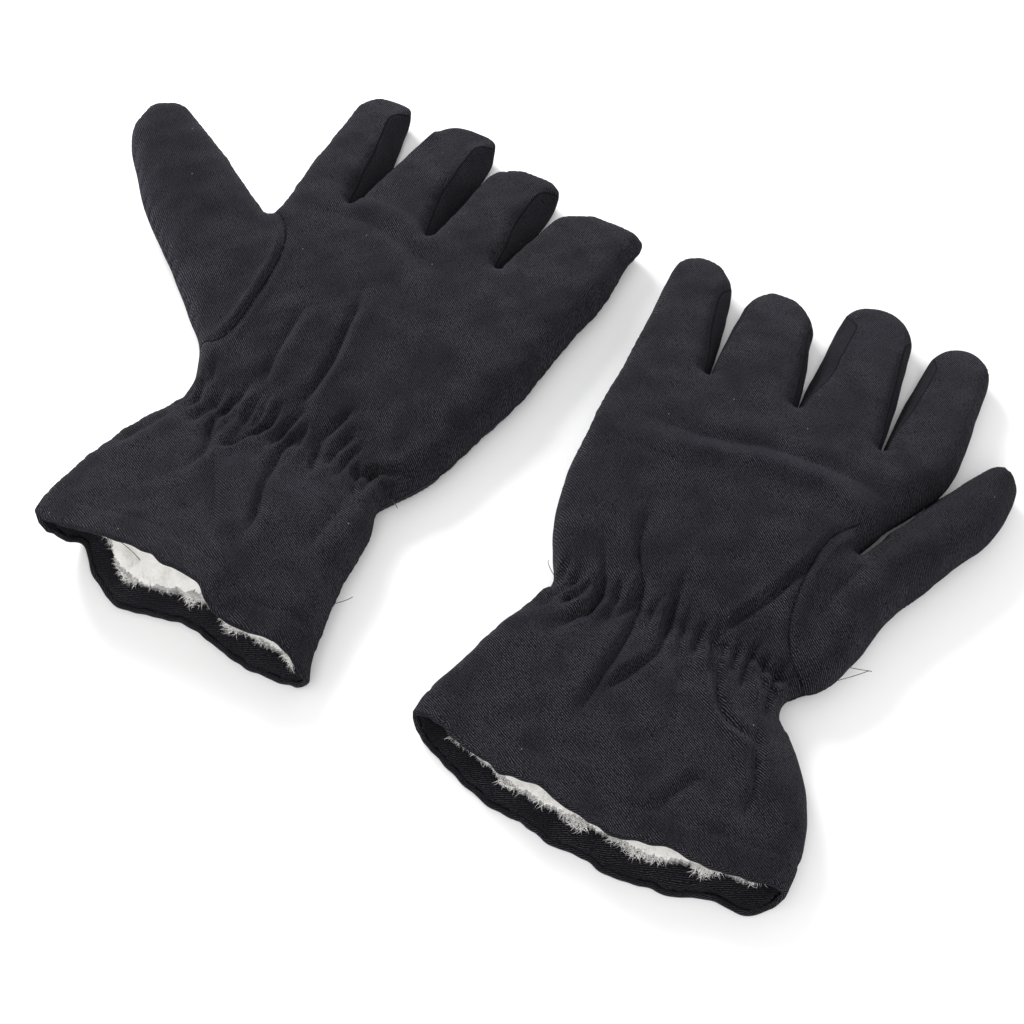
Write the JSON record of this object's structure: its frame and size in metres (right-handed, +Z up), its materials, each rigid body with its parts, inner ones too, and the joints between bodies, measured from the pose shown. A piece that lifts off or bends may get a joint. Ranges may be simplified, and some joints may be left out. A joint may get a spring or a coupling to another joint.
{
  "type": "cryogenic gloves",
  "caption": "Pair of dark twill cold-protection gloves with pile lining, elastic wrists and flared gauntlet cuffs, lying palm up; fingers, thumbs and cuffs bend.",
  "frame": {"origin": "on the table, under the middle of the pair's bounding box", "axes": "+Y towards the fingertips, +X from the left glove to the right glove, +Z up out of the palms"},
  "size_m": [0.4786, 0.3154, 0.048],
  "materials": {
    "dark_twill": "matte twill",
    "white_pile": "fluffy pile",
    "insulation": "quilted batting",
    "elastic": "woven elastic"
  },
  "bodies": {
    "left_hand": {"left_palm_panel": "dark_twill", "left_back_panel": "dark_twill", "left_palm_insulation": "insulation", "left_back_insulation": "insulation", "left_hand_lining": "white_pile", "left_wrist_elastic": "elastic"},
    "left_index": {"left_index_front": "dark_twill", "left_index_back": "dark_twill", "left_index_fourchette": "dark_twill", "left_index_lining": "white_pile"},
    "left_middle": {"left_middle_front": "dark_twill", "left_middle_back": "dark_twill", "left_middle_fourchette": "dark_twill", "left_middle_lining": "white_pile"},
    "left_ring": {"left_ring_front": "dark_twill", "left_ring_back": "dark_twill", "left_ring_fourchette": "dark_twill", "left_ring_lining": "white_pile"},
    "left_little": {"left_little_front": "dark_twill", "left_little_back": "dark_twill", "left_little_fourchette": "dark_twill", "left_little_lining": "white_pile"},
    "left_thumb": {"left_thumb_front": "dark_twill", "left_thumb_back": "dark_twill", "left_thumb_lining": "white_pile"},
    "left_cuff": {"left_cuff_palm_panel": "dark_twill", "left_cuff_back_panel": "dark_twill", "left_cuff_hem_facing": "dark_twill", "left_cuff_lining": "white_pile"},
    "right_hand": {"right_palm_panel": "dark_twill", "right_back_panel": "dark_twill", "right_palm_insulation": "insulation", "right_back_insulation": "insulation", "right_hand_lining": "white_pile", "right_wrist_elastic": "elastic"},
    "right_index": {"right_index_front": "dark_twill", "right_index_back": "dark_twill", "right_index_fourchette": "dark_twill", "right_index_lining": "white_pile"},
    "right_middle": {"right_middle_front": "dark_twill", "right_middle_back": "dark_twill", "right_middle_fourchette": "dark_twill", "right_middle_lining": "white_pile"},
    "right_ring": {"right_ring_front": "dark_twill", "right_ring_back": "dark_twill", "right_ring_fourchette": "dark_twill", "right_ring_lining": "white_pile"},
    "right_little": {"right_little_front": "dark_twill", "right_little_back": "dark_twill", "right_little_fourchette": "dark_twill", "right_little_lining": "white_pile"},
    "right_thumb": {"right_thumb_front": "dark_twill", "right_thumb_back": "dark_twill", "right_thumb_lining": "white_pile"},
    "right_cuff": {"right_cuff_palm_panel": "dark_twill", "right_cuff_back_panel": "dark_twill", "right_cuff_hem_facing": "dark_twill", "right_cuff_lining": "white_pile"}
  },
  "joints": [
    {"name": "left_index_curl", "type": "hinge", "parent": "left_hand", "child": "left_index", "pos_m": [-0.12742, 0.09406, 0.013], "axis": [1, 0, 0], "range_deg": [0, 60]},
    {"name": "left_middle_curl", "type": "hinge", "parent": "left_hand", "child": "left_middle", "pos_m": [-0.08742, 0.09406, 0.013], "axis": [1, 0, 0], "range_deg": [0, 60]},
    {"name": "left_ring_curl", "type": "hinge", "parent": "left_hand", "child": "left_ring", "pos_m": [-0.04792, 0.09406, 0.013], "axis": [1, 0, 0], "range_deg": [0, 60]},
    {"name": "left_little_curl", "type": "hinge", "parent": "left_hand", "child": "left_little", "pos_m": [-0.00392, 0.09406, 0.013], "axis": [1, 0, 0], "range_deg": [0, 60]},
    {"name": "left_thumb_curl", "type": "hinge", "parent": "left_hand", "child": "left_thumb", "pos_m": [-0.15392, 0.02406, 0.013], "axis": [0.6088, 0.7934, 0], "range_deg": [0, 50]},
    {"name": "left_cuff_fold", "type": "hinge", "parent": "left_hand", "child": "left_cuff", "pos_m": [-0.07092, -0.06894, 0.013], "axis": [-1, 0, 0], "range_deg": [0, 45]},
    {"name": "right_glove_lift", "type": "slide", "parent": "left_hand", "child": "right_hand", "axis": [0, 0, 1], "range_m": [0, 0.15]},
    {"name": "right_index_curl", "type": "hinge", "parent": "right_hand", "child": "right_index", "pos_m": [0.19098, 0.08426, 0.013], "axis": [1, 0, 0], "range_deg": [0, 60]},
    {"name": "right_middle_curl", "type": "hinge", "parent": "right_hand", "child": "right_middle", "pos_m": [0.15148, 0.08426, 0.013], "axis": [1, 0, 0], "range_deg": [0, 60]},
    {"name": "right_ring_curl", "type": "hinge", "parent": "right_hand", "child": "right_ring", "pos_m": [0.10848, 0.08426, 0.013], "axis": [1, 0, 0], "range_deg": [0, 60]},
    {"name": "right_little_curl", "type": "hinge", "parent": "right_hand", "child": "right_little", "pos_m": [0.06748, 0.08426, 0.013], "axis": [1, 0, 0], "range_deg": [0, 60]},
    {"name": "right_thumb_curl", "type": "hinge", "parent": "right_hand", "child": "right_thumb", "pos_m": [0.19748, 0.00026, 0.013], "axis": [0.9272, -0.3746, 0], "range_deg": [0, 50]},
    {"name": "right_cuff_fold", "type": "hinge", "parent": "right_hand", "child": "right_cuff", "pos_m": [0.12648, -0.07174, 0.013], "axis": [-1, 0, 0], "range_deg": [0, 45]}
  ]
}
